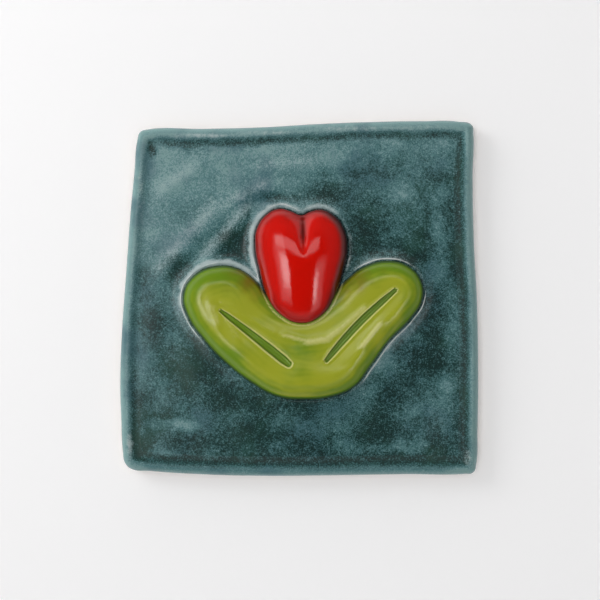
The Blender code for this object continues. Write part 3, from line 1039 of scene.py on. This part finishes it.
def leafLook(tools):
    look = leafGlaze
    pool, thin, warm = tools.mask("pool"), tools.mask("thin"), tools.mask("warm")
    drift = tools.grain(5, 3, 0.55)
    fleck = tools.grain(1.1)
    colour = (pool + (drift - 0.5) * 0.35).between(0.1, 0.85).blend(look["yellow"], look["green"])
    deep = pool.between(0.8, 1)
    colour = deep.blend(colour, look["deep"])
    colour = (warm + (drift - 0.5) * 0.25).between(0.12, 1.1).blend(colour, look["amber"])
    # paler over the burrs, and with painted highlights over the ridges
    colour = (thin + (fleck - 0.5) * 0.4).between(0.3, 0.95).blend(colour, look["thin"])
    normal = tools.grain(4, 1).bump(0.25, 0.15)
    return {"Base Color": colour, "Roughness": deep.span(*look["roughness"]), "Normal": normal, "IOR": 1.44}


bloomGlaze = {
    "reds": [  # from thin to pooled, and to painted shade on the bloom's right and upper flanks
        (0, (0.7, 0.005, 0.001, 1)), (0.2, (0.64, 0.005, 0.001, 1)), (0.62, (0.2, 0.006, 0.004, 1)),
        (1, (0.03, 0.003, 0.003, 1)),
    ],
    "roughness": (0.07, 0.22),
}


def bloomLook(tools):
    look = bloomGlaze
    pool = tools.mask("pool")
    depth = pool + (tools.grain(6) - 0.5) * 0.25
    colour = tools.node("ShaderNodeValToRGB", {"stops": look["reds"]}, {"Fac": depth})
    normal = tools.grain(3, 1).bump(0.25, 0.15)
    return {"Base Color": colour, "Roughness": pool.span(*look["roughness"]), "Normal": normal, "IOR": 1.47}


bareClay = {
    "buff": (0.42, 0.33, 0.24, 1),
    "dark": (0.24, 0.18, 0.13, 1),
    "roughness": (0.7, 0.9),
}


def clayLook(tools):
    look = bareClay
    sand = tools.grain(0.9, 3, 0.6)
    cloud = tools.grain(14, 3, 0.6)
    colour = (sand * 0.6 + cloud * 0.5).between(0.35, 0.8).blend(look["dark"], look["buff"])
    return {"Base Color": colour, "Roughness": sand.span(*look["roughness"]), "Normal": sand.bump(0.3, 0.1)}


tile = buildTile()
for name, look in (
    ("tealGlaze", tealLook), ("leafGlaze", leafLook), ("bloomGlaze", bloomLook), ("bareClay", clayLook),
):
    tile.data.materials.append(newFinish(name, look))
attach(tile, "root")
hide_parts("relief_tile")
print("tile dressed")


# The studio

studio = {
    "floorSize": 6,
    "floorDrop": 0.05 * mm,  # just under the back, so that the two never share a plane
    "floorColour": (0.92, 0.912, 0.918, 1),
    "floorGlow": 0.2,
    # Soft lights in the room, by direction: degrees to the right of overhead and towards the top
    # of the picture, how soft the left, the right and the other two edges are, and brightness
    "glows": {
        "keyBox": ((-36, -11), (-24, 28), (12, 2, 10), 1.4),
        "keyCore": ((-27, -11), (-15, 9), (10, 2, 8), 5.6),
        "rightBox": ((13, 34), (-34, 6), (2, 12, 8), 1.3),
        "rightCore": ((13, 22), (-22, -2), (2, 6, 8), 5.5),
        "topBox": ((-30, 14), (8, 24), (6, 5, 5), 2.2),
        "lowerBox": ((-40, 30), (-58, -24), (10, 10, 10), 0.35),
    },
    "overhead": 0.03,  # the room's brightness straight up
    "midSky": 0.16,  # between the lights
    "lowSky": (0.6, 1.3),  # and near the horizon, on the dim and the bright side
    "brightSide": (-0.85, 0.45, 0),
    "sides": (-0.7, 0.7),  # cosines from the bright side where the room turns dim
    "opening": (0.18, 0.52),  # and from overhead where it turns from low to mid sky
    "top": (0.8, 0.97),  # and from mid sky to overhead
    "sideLamp": {"place": (-0.62, 0.4, 0.46), "size": 0.4, "watts": 2.5},
}


def floorLook(tools):
    return {
        "Base Color": studio["floorColour"], "Roughness": 0.8, "Specular IOR Level": 0.1,
        "Emission Color": (1, 1, 1, 1), "Emission Strength": studio["floorGlow"],
    }


def layFloor():
    mesh = bpy.data.meshes.new("floor")
    half, z = studio["floorSize"] / 2, -studio["floorDrop"]
    corners = [(-half, -half, z), (half, -half, z), (half, half, z), (-half, half, z)]
    mesh.from_pydata(corners, [], [(0, 1, 2, 3)])
    floor = placed("floor", mesh)
    mesh.materials.append(newFinish("paleFloor", floorLook))


def lightRoom():
    world = bpy.data.worlds.new("studio")
    world.use_nodes = True
    tools = Wire(world.node_tree)
    way = tools.node("ShaderNodeTexCoord", {}, {})
    x, y, z = (tools.node("ShaderNodeSeparateXYZ", {}, {"Vector": way}, out=k) for k in range(3))
    sockets = {0: way, 1: studio["brightSide"]}
    side = tools.node("ShaderNodeVectorMath", {"operation": "DOT_PRODUCT"}, sockets, out=1)
    low = side.between(*studio["sides"]).span(*studio["lowSky"])
    high = z.between(*studio["top"]).span(studio["midSky"], studio["overhead"])
    room = (1 - z.between(*studio["opening"])).span(high, low)
    right = x.sum("ARCTAN2", x, z) * (180 / math.pi)
    up = y.sum("ARCTAN2", y, z) * (180 / math.pi)
    for (left, end), (bottom, top), (softLeft, softRight, soft), brightness in studio["glows"].values():
        across = right.between(left, left + softLeft) * (1 - right.between(end - softRight, end))
        along = up.between(bottom, bottom + soft) * (1 - up.between(top - soft, top))
        room += across * along * brightness
    tools.plug(world.node_tree.nodes["Background"], {"Color": (1, 1, 1, 1), "Strength": room})
    bpy.context.scene.world = world
    lamp = bpy.data.lights.new("sideLamp", "AREA")
    lamp.size, lamp.energy = studio["sideLamp"]["size"], studio["sideLamp"]["watts"]
    light = placed("sideLamp", lamp)
    light.visible_glossy = False
    light.location = studio["sideLamp"]["place"]
    light.rotation_euler = (-light.location).to_track_quat("-Z", "Y").to_euler()


# The camera looks straight down. The frame is square and 251.4 mm wide at the tile's edge.
view = {
    "lens": 70,
    "sensor": 36,
    "frameWidth": 251.4,
    "faceHeight": 5.4,
    "centre": (0.31, -0.63),
}


def setCamera():
    camera = bpy.data.cameras.new("camera")
    camera.lens = view["lens"]
    camera.sensor_width = view["sensor"]
    camera.clip_start = 0.01
    away = view["frameWidth"] * view["lens"] / view["sensor"]
    stand = placed("camera", camera)
    stand.location = Vector((*view["centre"], view["faceHeight"] + away)) * mm
    bpy.context.scene.camera = stand
    bpy.context.scene.view_settings.view_transform = "Standard"


layFloor()
lightRoom()
setCamera()
print("studio set")
